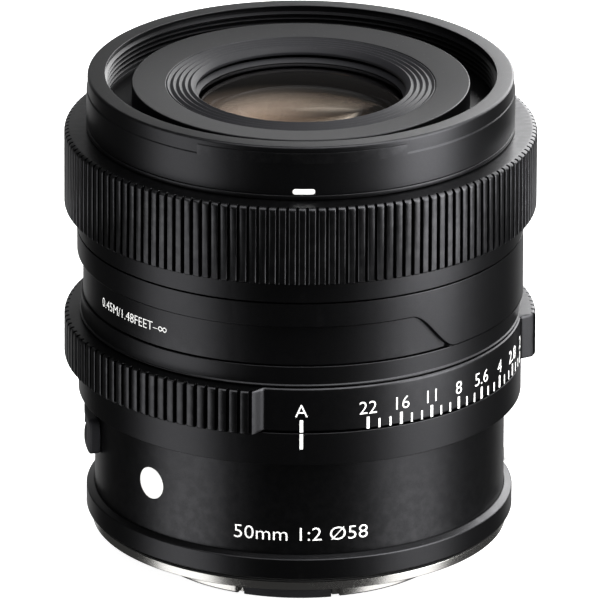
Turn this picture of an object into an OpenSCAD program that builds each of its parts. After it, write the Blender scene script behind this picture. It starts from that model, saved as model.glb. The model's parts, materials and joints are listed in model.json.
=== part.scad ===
// Autofocus prime lens with an aperture ring, standing on its bayonet.
// The optical axis is Z, the mount flange is z = 0 and the front rim faces +Z.
// Angles round the lens are read from -Y, where the index line is, towards +X.

/* [Body] */
// Length from the mount flange to the front rim
body_l = 70; // [69.8:0.1:70.2]
// Diameter over the ribs of the focus ring
grip_d = 70; // [70:0.2:71]
// Diameter of the middle barrel
shell_d = 66.2; // [66:0.1:66.4]
// Diameter of the front barrel
front_d = 63.4; // [63.2:0.1:63.6]
// Diameter of the rear barrel
rear_d = 60.9; // [60.8:0.1:61.2]

/* [Filter thread] */
// Minor diameter of the filter thread
thread_d = 57.2; // [57:0.1:57.4]
// Depth of the thread that stands clear of the face plate
thread_lead = 1.2; // [1:0.1:1.2]

/* [Mount] */
// Diameter of the pilot that centres the lens in the camera
pilot_d = 46; // [45.9:0.05:46.2]
// Diameter over the bayonet lugs
lug_d = 45.6; // [45.4:0.1:45.6]
// Length of the bayonet below the flange
bayonet_l = 4.5; // [4.3:0.1:4.8]

/* [Focus ring] */
// Height of the focus ring
focus_l = 12.1; // [11.8:0.1:12.1]
// Number of ribs on the focus ring
focus_rib_n = 150; // [120:2:160]

/* [Aperture ring] */
// Angle from the A mark to the smallest stop
first_stop = 17.35; // [16:0.05:18]
// Angle between whole stops
stop_step = 9.2; // [9:0.1:9.4]
// Number of whole stops after the first
stop_n = 7; // [6:1:7]
// Pitch of the ribs on the aperture ring, in degrees
aperture_rib_pitch = 2.8; // [2.6:0.1:3.2]

/* [Iris] */
// Number of iris blades
blade_n = 9; // [9:1:9]
// Angle that each blade turns through to close
blade_turn = 33.6; // [30:0.2:33.6]
// Angle that the drive ring turns through to close the iris
drive_turn = 21; // [20:0.5:22]

/* [Focus drive] */
// Travel of the focusing group
focus_travel = 5.4; // [4:0.2:5.4]

/* [Hidden] */
$fn = 96;
lens_fn = 360;

black = [0.07, 0.07, 0.075];
dark = [0.12, 0.12, 0.13];
silver = [0.75, 0.75, 0.74];
glass = [0.55, 0.62, 0.66, 0.5];

// Gaps: between turned parts of one body, and of a running fit
fit_gap = 0.05;
run_gap = 0.08;
eps = 1;

// Outer barrels
front_r = front_d / 2;
rim_r = front_r - 0.22;
shell_r = shell_d / 2;
grip_r = grip_d / 2;
rear_r = rear_d / 2;
panel_r = shell_r - 0.9;
band_r = shell_r - 0.2;
collar_r = shell_r - 0.6;

// Heights of the joins between the outer barrels
rim_step_z = body_l - 2.2;
hood_lug_z = body_l - 0.9;
front_join_z = body_l - 7.45;
focus_top = front_join_z - 0.85;
focus_z = focus_top - focus_l;
mid_top = 46.05;
panel_top = 42.3;
mid_z = 36.1;
aperture_top = 32.7;
aperture_z = 25.85;
band_top = aperture_z - 0.2;
band_z = 20.6;
barrel_top = 20.5;
skirt_top = 5.6;
skirt_z = 2.1;

// Front face
thread_r = thread_d / 2;
thread_z = body_l - 5;
face_z = body_l - 1.3;
face_r = 25;
mouth_r = 19.85;
mouth_z = body_l - 1.7;
eye_r = 16.25;
baffle_bore_r = 15.5;
glass_eye_r = 15.1;
ridge_n = 4;
ridge_deep = 0.35;

// Sleeves that the rings turn on
focus_sleeve_r = 30.7;
focus_bore_r = 31;
aperture_sleeve_r = 30.92;
aperture_bore_r = aperture_sleeve_r + run_gap;
tube_r = 28.6;
tube_wall = 1.2;

// Ribs and marks
rib_deep = 0.7;
marks_from = -12.5;
marks_to = 85.1;
last_stop = first_stop + stop_n * stop_step;
click_step = stop_step / 3;

// Click ball, under the aperture ring's rear face
ball_r = 0.6;
ball_ring_r = 31.95;
ball_at = 140;
ball_proud = 0.15;
notch_deep = 0.3;
notch_r = 0.45;

// Mount
flange_r = 30.8;
flange_t = 1.3;
pilot_r = pilot_d / 2;
pilot_l = 1.2;
lug_r = lug_d / 2;
lug_centres = [-51.5, 42.5, 175];
lug_half = 27.5;
bayonet_tube_r = 21.9;
bayonet_bore_r = 20.6;
block_from = -22.6;
block_to = 12.6;
screw_ring_r = 27.2;
screw_at = [32, 122, 212, 302];
pin_n = 10;

// Switch
switch_at = -90;
switch_z = 12.1;
switch_h = 5.4;
switch_half = 14.5;
knob_half = 4.2;
knob_start = -3.5;

// Iris
iris_z = 43;
iris_open_r = 11.4;
pivot_r = 17.6;
blade_w = 5;
blade_t = 0.1;
blade_step = 0.18;
blade_z = 44.12;
pin_r = 0.4;
drive_pin_at = -8.6;
drive_pin_r = 17.45;
drive_z = 45.95;
drive_t = 1;
drive_bore_r = 15.2;
drive_r = 20.25;
iris_module = 0.4;
ring_teeth = 104;
pinion_teeth = 11;
ring_pitch_r = iris_module * ring_teeth / 2;
pinion_pitch_r = iris_module * pinion_teeth / 2;
pinion_at = 125;
pinion_ring_r = ring_pitch_r + pinion_pitch_r + 0.04;

// Focus drive
rod_r = 0.8;
rod_ring_r = 20;
rod_at = [90, 270];
rod_z = 19.6;
lead_screw_ring_r = 22.6;
focus_screw_at = 215;
focus_screw_r = 0.9;
cell_z = 24.2;
cell_h = 4.6;
iris_snout_z = cell_z + cell_h + focus_travel + 1.2;

// ---- Helpers ----

// Turns its children so that +X points out at this angle from the index line
module around(angle) rotate([0, 0, angle - 90]) children();

// A solid of revolution with an outline of [radius, height] points
module turned(outline) rotate_extrude() polygon(outline);

module tube(r_in, r_out, z0, z1)
    rotate_extrude() translate([r_in, z0]) square([r_out - r_in, z1 - z0]);

// Part of a tube, between two angles from the index line
module arc_tube(r_in, r_out, z0, z1, from, to)
    translate([0, 0, z0]) linear_extrude(z1 - z0) arc_shape(r_in, r_out, from, to);

function polar(r, angle) = [r * sin(angle), -r * cos(angle)];

function arc_points(r, from, to, n) = [for (i = [0:n]) polar(r, from + (to - from) * i / n)];

// Flat wedge of a ring; its ends are straight and its arcs are true circles
module arc_shape(r_in, r_out, from, to) {
    far = r_out * 1.5;
    parts = ceil((to - from) / 60);
    intersection() {
        difference() {
            circle(r = r_out);
            circle(r = r_in);
        }
        polygon(concat([[0, 0]], arc_points(far, from, to, parts)));
    }
}

// One rib of a grip: root, two tips, root
function rib(angle, pitch, r_root, r_tip) = [
    polar(r_root, angle - 0.42 * pitch), polar(r_tip, angle - 0.2 * pitch),
    polar(r_tip, angle + 0.2 * pitch), polar(r_root, angle + 0.42 * pitch)];

function ribs(n, from, pitch, r_root, r_tip) =
    [for (i = [0:n - 1]) each rib(from + i * pitch, pitch, r_root, r_tip)];

module ball_at_z(z, r) translate([0, 0, z]) sphere(r = r, $fn = lens_fn);

// A lens: vertices at z_front and z_rear, radii positive where the face bulges out
module lens(r, z_front, z_rear, r_front, r_rear) {
    sag_front = abs(r_front) - sqrt(r_front * r_front - r * r);
    sag_rear = abs(r_rear) - sqrt(r_rear * r_rear - r * r);
    top = r_front > 0 ? z_front : z_front + sag_front;
    bottom = r_rear > 0 ? z_rear : z_rear - sag_rear;
    color(glass) difference() {
        intersection() {
            translate([0, 0, bottom]) cylinder(r = r, h = top - bottom, $fn = lens_fn);
            if (r_front > 0) ball_at_z(z_front - r_front, r_front);
            if (r_rear > 0) ball_at_z(z_rear + r_rear, r_rear);
        }
        if (r_front < 0) ball_at_z(z_front - r_front, -r_front);
        if (r_rear < 0) ball_at_z(z_rear + r_rear, -r_rear);
    }
}

// ---- Front end ----

module front_ring() color(black) {
    clear_r = thread_r + 0.5;
    turned([
        [22, front_join_z], [front_r, front_join_z], [front_r, rim_step_z - 0.2],
        [rim_r, rim_step_z], [rim_r, body_l], [thread_r, body_l],
        [thread_r, body_l - thread_lead], [clear_r, body_l - thread_lead],
        [clear_r, thread_z - 0.1], [22, thread_z - 0.1]]);
    for (t = [0, 120, 240])
        arc_tube(rim_r - 0.2, front_r + 0.2, rim_step_z - 0.3, hood_lug_z, t - 29, t + 29);
}

module face_plate() color(dark) turned([
    [mouth_r + fit_gap, mouth_z], [face_r, face_z], [face_r, thread_z - 0.05],
    [face_r - 0.8, thread_z - 0.05], [face_r - 0.8, face_z - 1.1],
    [mouth_r + fit_gap, mouth_z - 1.1]]);

// Ring of fine ridges that keeps light off the glass
module front_baffle() color(dark) {
    pitch = (mouth_r - eye_r - 0.1) / ridge_n;
    ridges = [for (i = [0:ridge_n - 1]) each [
        [eye_r + i * pitch, mouth_z],
        [eye_r + (i + 0.12) * pitch, mouth_z],
        [eye_r + (i + 0.5) * pitch, mouth_z - ridge_deep],
        [eye_r + (i + 0.62) * pitch, mouth_z - ridge_deep]]];
    turned(concat(ridges, [
        [mouth_r - 0.1, mouth_z], [mouth_r, mouth_z], [mouth_r, mouth_z - 1.3],
        [face_r - 0.9, mouth_z - 1.7], [face_r - 0.9, thread_z - 0.05],
        [22.2, thread_z - 0.05], [22.2, thread_z + 0.9], [eye_r + 1.8, mouth_z - 1.7],
        [eye_r + 0.4, mouth_z - 1.25], [baffle_bore_r, mouth_z - 1.2],
        [baffle_bore_r, mouth_z - 0.8]]));
}

module front_retainer() color(black) turned([
    [glass_eye_r, 66], [glass_eye_r + 0.8, 66.6], [glass_eye_r + 0.9, 66.05], [17, 66.05],
    [17, 65.1], [16.3, 65.1], [16.3, 65.75]]);

module element_1() lens(16.2, 67.8, 65, 62, -38);
module element_2() lens(14.6, 64.2, 58.8, 33, 120);
module element_3() lens(13.2, 57.9, 52.6, 38, 46);
module element_4() lens(11.8, 52.57, 51.2, -46, -27);

// Turned cell that holds the four front lenses
module front_cell() color(dark) turned([
    [11.85, 48.2], [11.85, 54.1], [13.25, 54.5], [13.25, 59.45], [14.65, 59.6],
    [14.65, 61.33], [16.25, 61.33], [16.25, 65], [17.05, 65], [17.05, 65.9], [18, 65.9],
    [18.6, 65.3], [18.6, 61.8], [27.35, 61.8], [27.35, 60.4], [17.6, 60.4], [15.2, 56],
    [15.2, 50], [13.4, 48.2]]);

module main_tube() color(dark)
    tube(tube_r - tube_wall, tube_r, 7.9, front_join_z - 0.15);

// ---- Focus ring ----

module front_barrel() color(black) turned([
    [tube_r + 0.1, front_join_z - 0.05], [front_r, front_join_z - 0.05],
    [front_r, focus_top + 0.2], [focus_sleeve_r, focus_top + 0.2],
    [focus_sleeve_r, mid_top], [focus_sleeve_r - 1.3, mid_top],
    [focus_sleeve_r - 1.3, focus_top - 0.4], [tube_r + 0.1, focus_top - 0.4]]);

module focus_ring() color(black) difference() {
    translate([0, 0, focus_z]) linear_extrude(focus_l) polygon(
        ribs(focus_rib_n, 0, 360 / focus_rib_n, grip_r - rib_deep, grip_r));
    translate([0, 0, focus_z - eps]) cylinder(r = focus_bore_r, h = focus_l + 2 * eps);
}

// Two slippery bands that the focus ring runs on
module focus_slides() color([0.8, 0.8, 0.75])
    for (z = [focus_z + 1, focus_top - 2.5])
        tube(focus_sleeve_r + 0.02, focus_bore_r - fit_gap, z, z + 1.5);

// Slotted skirt under the focus ring, which the sensor reads
module focus_comb() color(dark) difference() {
    tube(31.3, 31.7, 47.3, focus_z);
    for (i = [0:35])
        rotate([0, 0, i * 10]) translate([30.8, -1.1, 47]) cube([1.4, 2.2, 1.6]);
}

module focus_sensor() color([0.1, 0.2, 0.12])
    arc_tube(30.9, 32, 46.95, 47.2, 176, 184);

module focus_collar() color(black) turned([
    [focus_sleeve_r + fit_gap, mid_top + 0.2], [shell_r, mid_top + 0.2],
    [shell_r, focus_z - 0.2], [32.1, focus_z - 0.2], [32.1, mid_top + 0.85],
    [focus_sleeve_r + fit_gap, mid_top + 0.85]]);

// ---- Middle barrel and aperture ring ----

module mid_barrel() color(black) difference() {
    turned([
        [31.4, mid_z], [shell_r, mid_z], [shell_r, mid_top], [focus_sleeve_r - 1.3, mid_top],
        [focus_sleeve_r - 1.3, mid_top - 1.2], [31.4, mid_top - 1.2]]);
    arc_tube(panel_r, shell_r + eps, mid_z - eps, panel_top, -150, 37);
}

module aperture_collar() color(black)
    tube(aperture_sleeve_r + fit_gap, collar_r, aperture_top + 0.2, mid_z - 0.1);

// A pocket for each click: the A mark, then every third of a stop
module click_notches() {
    clicks = concat([0], [for (a = [first_stop:click_step:last_stop + 0.01]) a]);
    for (a = clicks)
        around(ball_at + a) translate([ball_ring_r, 0, aperture_z - eps])
            cylinder(r = notch_r, h = notch_deep + eps, $fn = 24);
}

module aperture_ring() color(black) difference() {
    union() {
        tube(aperture_bore_r, band_r, aperture_z, aperture_top);
        rib_n = floor((360 + marks_from - marks_to) / aperture_rib_pitch);
        grip = ribs(rib_n, marks_to + 2, aperture_rib_pitch, grip_r - rib_deep, grip_r);
        last = marks_to + 2 + (rib_n - 0.5) * aperture_rib_pitch;
        inner = arc_points(band_r - 0.4, last, marks_to, 60);
        translate([0, 0, aperture_z]) linear_extrude(aperture_top - aperture_z)
            polygon(concat(grip, [polar(band_r - 0.4, last + 2)], inner));
    }
    click_notches();
}

module click_ball() color(silver) around(ball_at)
    translate([ball_ring_r, 0, band_top + ball_proud - ball_r]) sphere(r = ball_r, $fn = 32);

module click_spring() color(silver) around(ball_at)
    translate([ball_ring_r, 0, 22.7]) difference() {
        cylinder(r = 0.5, h = 1.85, $fn = 24);
        translate([0, 0, -eps]) cylinder(r = 0.3, h = 4, $fn = 24);
    }

// Fixed band with the index line, and the sleeve that the aperture ring turns on
module index_band() color(black) difference() {
    turned([
        [29.5, band_z], [band_r, band_z], [band_r, band_top], [aperture_sleeve_r, band_top],
        [aperture_sleeve_r, mid_z - 0.1], [29.5, mid_z - 0.1]]);
    around(ball_at) translate([ball_ring_r, 0, 22.65]) cylinder(r = ball_r + 0.04, h = 4);
}

// ---- Rear end ----

module rear_barrel() color(black) difference() {
    turned([
        [23.8, skirt_z + 0.1], [rear_r, skirt_z + 0.1], [rear_r, barrel_top],
        [28.9, barrel_top], [28.9, 4.6], [23.8, 4.6]]);
    for (a = screw_at)
        around(a) translate([screw_ring_r, 0, 1]) cylinder(r = 0.75, h = 5);
    around(switch_at) translate([rear_r - 3, -4, switch_z + 1.7]) cube([6, 8, switch_h - 3.4]);
}

// Raised housing of the focus mode switch, with the slot that its knob slides in
module switch_housing() color(dark) difference() {
    arc_tube(rear_r + 0.02, rear_r + 1.6, switch_z, switch_z + switch_h,
        switch_at - switch_half, switch_at + switch_half);
    arc_tube(rear_r - eps, rear_r + 3, switch_z + 1.2, switch_z + switch_h - 1.2,
        switch_at - 8.2, switch_at + 8.2);
}

module switch_knob() color(black) {
    middle = switch_at + knob_start;
    arc_tube(rear_r + 0.3, rear_r + 1.2, switch_z + 1.4, switch_z + switch_h - 1.4,
        middle - knob_half, middle + knob_half);
    arc_tube(rear_r + 1.15, rear_r + 1.55, switch_z + 2.0, switch_z + switch_h - 2.0,
        middle - knob_half / 2, middle + knob_half / 2);
}

module badge() color([0.95, 0.95, 0.95]) around(-46.2) translate([0, 0, 13.2])
    intersection() {
        rotate([0, 90, 0]) cylinder(r = 2.42, h = 40);
        translate([0, 0, -5]) tube(rear_r + 0.01, rear_r + 0.13, 0, 10);
    }

module index_bead() color([0.9, 0.9, 0.9]) around(90) translate([rear_r - 0.43, 0, 9.5])
    intersection() {
        sphere(r = 1.15);
        translate([0.45, -2, -2]) cube(4);
    }

module mount_skirt() color(black) turned([
    [rear_r + fit_gap, skirt_top], [31.7, skirt_top - 0.4], [31.7, skirt_z],
    [rear_r + fit_gap, skirt_z]]);

module mount_seal() color(dark) tube(29.9, 31.1, flange_t + 0.05, skirt_z - 0.05);

// Chromed flange, pilot, tube and lugs
module bayonet_mount() color(silver) difference() {
    union() {
        turned([
            [bayonet_bore_r, flange_t], [flange_r, flange_t], [flange_r, 0], [pilot_r, 0],
            [pilot_r, -pilot_l], [bayonet_tube_r, -pilot_l], [bayonet_tube_r, -bayonet_l],
            [bayonet_bore_r, -bayonet_l]]);
        for (t = lug_centres)
            arc_tube(bayonet_tube_r - 0.2, lug_r, -bayonet_l, -pilot_l + 0.1,
                t - lug_half, t + lug_half);
    }
    arc_tube(bayonet_bore_r - eps, pilot_r + eps, -bayonet_l - eps, -pilot_l - 0.01,
        block_from, block_to);
    for (a = screw_at) around(a) translate([screw_ring_r, 0, 0]) {
        translate([0, 0, -eps]) cylinder(r = 0.9, h = 4);
        translate([0, 0, -eps]) cylinder(r = 1.6, h = eps + 0.9);
    }
}

module mount_screws() color(silver)
    for (a = screw_at) around(a) translate([screw_ring_r, 0, 0]) difference() {
        union() {
            translate([0, 0, 0.15]) cylinder(r = 1.5, h = 0.72);
            translate([0, 0, 0.5]) cylinder(r = 0.7, h = 5);
        }
        for (turn = [0, 90])
            rotate([0, 0, turn]) translate([-0.75, -0.15, 0]) cube([1.5, 0.3, 0.55]);
    }

// Black contact block that fills the window between two lugs
module contact_block() color(dark) difference() {
    union() {
        arc_tube(18.4, bayonet_tube_r, -bayonet_l - 0.4, -pilot_l - 0.05,
            block_from + 0.4, block_to - 0.4);
        arc_tube(18.4, bayonet_bore_r - fit_gap, -bayonet_l - 0.4, 0.95, -32, 32);
    }
    for (z = [-2.1, -3.3])
        arc_tube(bayonet_tube_r - 0.25, bayonet_tube_r + eps, z, z + 0.35, -40, 40);
    for (i = [0:pin_n - 1])
        around(-27 + 6 * i) translate([19.5, 0, -6]) cylinder(r = 0.55, h = 1.6, $fn = 32);
}

module contact_pins() color([0.83, 0.68, 0.35])
    for (i = [0:pin_n - 1])
        around(-27 + 6 * i) translate([19.5, 0, -bayonet_l - 0.38])
            cylinder(r = 0.5, h = 0.45, $fn = 32);

// Matt black mask behind the last lens, with a window as wide as the picture
module rear_mask() color(black) difference() {
    turned([
        [12.5, -2.6], [17.2, -2.6], [17.2, -bayonet_l - 0.4], [18.2, -bayonet_l - 0.4],
        [18.2, 1], [20.3, 1], [20.3, 2], [17.2, 2], [17.2, -1.6], [12.5, -1.6]]);
    translate([-15.6, -10.4, -4]) cube([31.2, 20.8, 3]);
}

// ---- Rear lenses ----

module element_5() lens(11.6, 42.2, 38.6, 40, 60);
module element_6() lens(11.6, 38.57, 36.8, -60, 34);
module element_7() lens(11, 28.4, 27, 90, -24);
module element_8() lens(12.4, 22.6, 19.6, 44, -70);
module element_9() lens(12.8, 17.6, 14.4, -140, 36);
module element_10() lens(13.6, 13.4, 9.4, 52, 60);
module element_11() lens(14.4, 5.6, 3.4, -40, -160);

// Fixed cell of the rear group; the guide rods and lead screw stand in its flange
module rear_cell() color(dark) difference() {
    turned([
        [14.45, 1.2], [16.9, 1.2], [16.9, 17.4], [27.3, 17.4], [27.3, 19.2], [14.2, 19.2],
        [14.2, 23.2], [12.45, 23.2], [12.45, 19.2], [12.85, 19.2], [12.85, 14],
        [13.65, 14], [13.65, 8.6], [14.45, 8.6]]);
    around(focus_screw_at) translate([lead_screw_ring_r, 0, 16])
        cylinder(r = focus_screw_r + fit_gap, h = 5);
}

// ---- Iris ----

module iris_base() color(dark) difference() {
    turned([
        [iris_open_r, iris_z], [11.65, iris_z], [11.65, iris_snout_z], [13, iris_snout_z],
        [13, iris_z], [27.3, iris_z], [27.3, 47.05], [26.2, 47.05], [26.2, 44],
        [iris_open_r, 44]]);
    for (i = [0:blade_n - 1])
        around(i * 360 / blade_n) translate([pivot_r, 0, iris_z + 0.2])
            cylinder(r = pin_r + fit_gap, h = 2, $fn = 32);
    around(pinion_at) translate([pinion_ring_r, 0, iris_z - eps]) cylinder(r = 0.8, h = 3);
}

// One sickle blade; each lies on its own level so that the nine can cross
module iris_blade(i) {
    level = blade_z + i * blade_step;
    color([0.2, 0.2, 0.21]) rotate([0, 0, i * 360 / blade_n]) {
        translate([0, 0, level]) linear_extrude(blade_t) {
            arc_shape(iris_open_r + 0.1, iris_open_r + blade_w, -4, 106);
            arc_shape(iris_open_r + 3.5, pivot_r + 0.8, -11.4, 3);
        }
        around(0) translate([pivot_r, 0, iris_z + 0.25])
            cylinder(r = pin_r, h = level - iris_z - 0.2, $fn = 32);
        around(drive_pin_at) translate([drive_pin_r, 0, level + 0.05])
            cylinder(r = pin_r, h = drive_z + 0.85 - level, $fn = 32);
    }
}

module iris_blade_1() iris_blade(0);
module iris_blade_2() iris_blade(1);
module iris_blade_3() iris_blade(2);
module iris_blade_4() iris_blade(3);
module iris_blade_5() iris_blade(4);
module iris_blade_6() iris_blade(5);
module iris_blade_7() iris_blade(6);
module iris_blade_8() iris_blade(7);
module iris_blade_9() iris_blade(8);

function spin(p, a) = [p[0] * cos(a) - p[1] * sin(a), p[0] * sin(a) + p[1] * cos(a)];

// Where a blade's drive pin lies in the turned drive ring, as the iris closes
function slot_point(t) =
    let (pivot = polar(pivot_r, 0), rest = polar(drive_pin_r, drive_pin_at))
    spin(pivot + spin(rest - pivot, t * blade_turn), -t * drive_turn);

function slot_edge(t, side) =
    let (step = slot_point(t + 0.01) - slot_point(t - 0.01), along = step / norm(step))
    slot_point(t) + side * (pin_r + 0.07) * [-along[1], along[0]];

module drive_slot() {
    ends = 0.1;
    n = 16;
    polygon(concat(
        [for (i = [0:n]) slot_edge(-ends + (1 + 2 * ends) * i / n, 1)],
        [for (i = [n:-1:0]) slot_edge(-ends + (1 + 2 * ends) * i / n, -1)]));
}

// Gear tooth outline between root and tip, with play on both flanks
function tooth(angle, pitch, r, add) = [
    polar(r - add, angle - 0.33 * pitch), polar(r, angle - 0.22 * pitch),
    polar(r + add * 0.8, angle - 0.08 * pitch), polar(r + add * 0.8, angle + 0.08 * pitch),
    polar(r, angle + 0.22 * pitch), polar(r - add, angle + 0.33 * pitch)];

// Ring with a cam slot for each blade and a toothed edge for the pinion
module iris_drive_ring() color([0.16, 0.16, 0.17]) translate([0, 0, drive_z])
    linear_extrude(drive_t) difference() {
        union() {
            circle(r = drive_r);
            tooth_pitch = 360 / ring_teeth;
            teeth = [for (i = [-9:2]) each tooth(pinion_at + (i + 0.5) * tooth_pitch,
                tooth_pitch, ring_pitch_r, iris_module)];
            polygon(concat([[0, 0]], teeth));
        }
        circle(r = drive_bore_r);
        for (i = [0:blade_n - 1]) rotate([0, 0, i * 360 / blade_n]) drive_slot();
    }

module iris_cover() color(dark) turned([
    [13.6, 45.9], [drive_bore_r - run_gap, 45.9], [drive_bore_r - run_gap, 47.1],
    [27.3, 47.1], [27.3, 47.9], [11.9, 47.9], [11.9, 47.1], [13.6, 47.1]]);

module iris_motor() color([0.35, 0.35, 0.36]) around(pinion_at)
    translate([pinion_ring_r, 0, 33.4]) cylinder(r = 4, h = iris_z - 33.45);

module iris_pinion() color([0.85, 0.75, 0.45]) around(pinion_at)
    translate([pinion_ring_r, 0, 0]) {
        translate([0, 0, iris_z + 0.02]) cylinder(r = 0.72, h = 3.5, $fn = 32);
        translate([0, 0, drive_z + 0.05]) linear_extrude(drive_t - 0.1)
            polygon([for (i = [0:pinion_teeth - 1])
                each tooth(270 + i * 360 / pinion_teeth, 360 / pinion_teeth,
                    pinion_pitch_r, iris_module)]);
    }

// ---- Focusing group ----

// Moving cell with a sleeve on each guide rod and the nut of the lead screw
module focus_cell() color([0.2, 0.2, 0.21]) difference() {
    union() {
        tube(11.05, 13.2, cell_z, cell_z + cell_h);
        for (a = rod_at) around(a) {
            translate([rod_ring_r, 0, cell_z]) cylinder(r = 2, h = cell_h);
            translate([12.6, -1, cell_z]) cube([6, 2, cell_h]);
        }
        around(focus_screw_at) {
            translate([lead_screw_ring_r, 0, cell_z]) cylinder(r = 2.4, h = cell_h);
            translate([12.6, -1.2, cell_z]) cube([8.6, 2.4, cell_h]);
        }
    }
    for (a = rod_at) around(a) translate([rod_ring_r, 0, cell_z - eps])
        cylinder(r = rod_r + fit_gap, h = cell_h + 2 * eps);
    around(focus_screw_at) translate([lead_screw_ring_r, 0, cell_z - eps])
        cylinder(r = focus_screw_r + run_gap, h = cell_h + 2 * eps);
}

module guide_rods() color(silver) for (a = rod_at) around(a)
    translate([rod_ring_r, 0, rod_z - 0.38]) cylinder(r = rod_r, h = iris_z - rod_z + 0.36);

module focus_motor() color([0.35, 0.35, 0.36]) around(focus_screw_at)
    translate([lead_screw_ring_r, 0, 36.4]) cylinder(r = 4, h = iris_z - 36.42);

module lead_screw() color(silver) around(focus_screw_at)
    translate([lead_screw_ring_r, 0, 17.6]) cylinder(r = focus_screw_r, h = 18.7);

front_ring();
face_plate();
front_baffle();
front_retainer();
front_barrel();
focus_ring();
focus_comb();
focus_slides();
focus_sensor();
focus_collar();
mid_barrel();
aperture_collar();
aperture_ring();
click_ball();
click_spring();
index_band();
rear_barrel();
switch_housing();
switch_knob();
badge();
index_bead();
mount_skirt();
mount_seal();
bayonet_mount();
mount_screws();
contact_block();
contact_pins();
rear_mask();
main_tube();
front_cell();
rear_cell();
element_1();
element_2();
element_3();
element_4();
element_5();
element_6();
element_7();
element_8();
element_9();
element_10();
element_11();
iris_base();
iris_blade_1();
iris_blade_2();
iris_blade_3();
iris_blade_4();
iris_blade_5();
iris_blade_6();
iris_blade_7();
iris_blade_8();
iris_blade_9();
iris_drive_ring();
iris_cover();
iris_motor();
iris_pinion();
focus_cell();
guide_rods();
focus_motor();
lead_screw();
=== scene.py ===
import json
import math

import bmesh
import bpy
from bpy.props import FloatProperty, FloatVectorProperty, IntProperty, PointerProperty
from mathutils import Matrix, Quaternion, Vector

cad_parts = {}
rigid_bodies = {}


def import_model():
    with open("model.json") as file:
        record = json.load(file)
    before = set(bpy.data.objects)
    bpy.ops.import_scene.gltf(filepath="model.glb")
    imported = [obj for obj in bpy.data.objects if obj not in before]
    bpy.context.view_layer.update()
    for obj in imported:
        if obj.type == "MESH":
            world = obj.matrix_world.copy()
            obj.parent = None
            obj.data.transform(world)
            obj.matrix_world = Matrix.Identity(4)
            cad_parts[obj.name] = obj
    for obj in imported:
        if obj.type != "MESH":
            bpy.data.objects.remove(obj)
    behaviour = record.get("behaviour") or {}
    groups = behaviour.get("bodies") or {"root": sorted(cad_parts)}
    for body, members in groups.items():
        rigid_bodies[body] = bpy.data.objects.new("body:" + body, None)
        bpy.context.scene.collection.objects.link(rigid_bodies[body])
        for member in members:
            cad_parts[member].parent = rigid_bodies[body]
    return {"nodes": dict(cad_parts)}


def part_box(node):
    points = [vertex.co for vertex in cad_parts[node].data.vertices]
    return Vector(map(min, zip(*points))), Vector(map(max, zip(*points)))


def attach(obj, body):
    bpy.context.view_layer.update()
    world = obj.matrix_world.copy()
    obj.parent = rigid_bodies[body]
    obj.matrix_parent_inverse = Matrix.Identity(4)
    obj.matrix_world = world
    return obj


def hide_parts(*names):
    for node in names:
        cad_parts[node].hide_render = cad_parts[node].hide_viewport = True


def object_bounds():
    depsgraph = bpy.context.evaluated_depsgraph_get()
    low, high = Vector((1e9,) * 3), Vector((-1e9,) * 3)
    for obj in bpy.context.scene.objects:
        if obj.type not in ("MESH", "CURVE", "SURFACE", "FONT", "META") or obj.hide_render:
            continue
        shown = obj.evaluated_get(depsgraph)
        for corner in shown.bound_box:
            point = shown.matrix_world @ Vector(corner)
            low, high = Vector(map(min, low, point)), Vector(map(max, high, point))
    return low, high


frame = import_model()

bl_info = {
    "name": "Prime Lens",
    "version": (1, 0, 0),
    "blender": (4, 5, 0),
    "location": "View3D > Sidebar > Lens",
    "description": "Builds an autofocus prime lens around its packed frame",
    "category": "Object",
}

MM = 0.001
CAD_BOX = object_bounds()
HOUSING = "lens_body"
TURN_STEPS = 288


def top_of(node):
    """Height of a node's front end, in millimetres above the mount flange."""
    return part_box(node)[1].z / MM


def foot_of(node):
    """Height of a node's rear end, in millimetres above the mount flange."""
    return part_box(node)[0].z / MM


def reach_of(node):
    """Largest radius of a node that goes all the way round, in millimetres."""
    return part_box(node)[1].x / MM


# ---- Sizes and colours that a user would change ----


def length(title, says, default):
    return FloatProperty(name=title, description=says, default=default, unit="LENGTH", precision=5)


def tint(title, says, default):
    return FloatVectorProperty(name=title, description=says, default=default, size=3,
                               subtype="COLOR", min=0.0, max=1.0)


def share(title, says, default):
    return FloatProperty(name=title, description=says, default=default, min=0.0, max=1.0,
                         subtype="FACTOR")


class LensSizes(bpy.types.PropertyGroup):
    """Sizes of the details that the frame leaves open"""

    thread_crest: length("Thread crest radius", "Radius of the filter thread's crests", 0.0286)
    thread_pitch: length("Thread pitch", "Pitch of the filter thread", 0.00075)
    focus_ribs: IntProperty(name="Focus ribs", description="Ribs round the focus ring",
                            default=150, min=60, max=200)
    rib_depth: length("Rib depth", "Depth of the grooves between the ribs", 0.0007)
    numeral_height: length("Numeral height", "Height of the stop numerals", 0.0021)
    spec_height: length("Specification height", "Height of the lettering at the rear", 0.0022)
    print_thickness: length("Print thickness", "Thickness of the printed marks", 0.00002)
    softness: length("Edge rounding", "Rounding of the turned edges", 0.00012)


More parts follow.
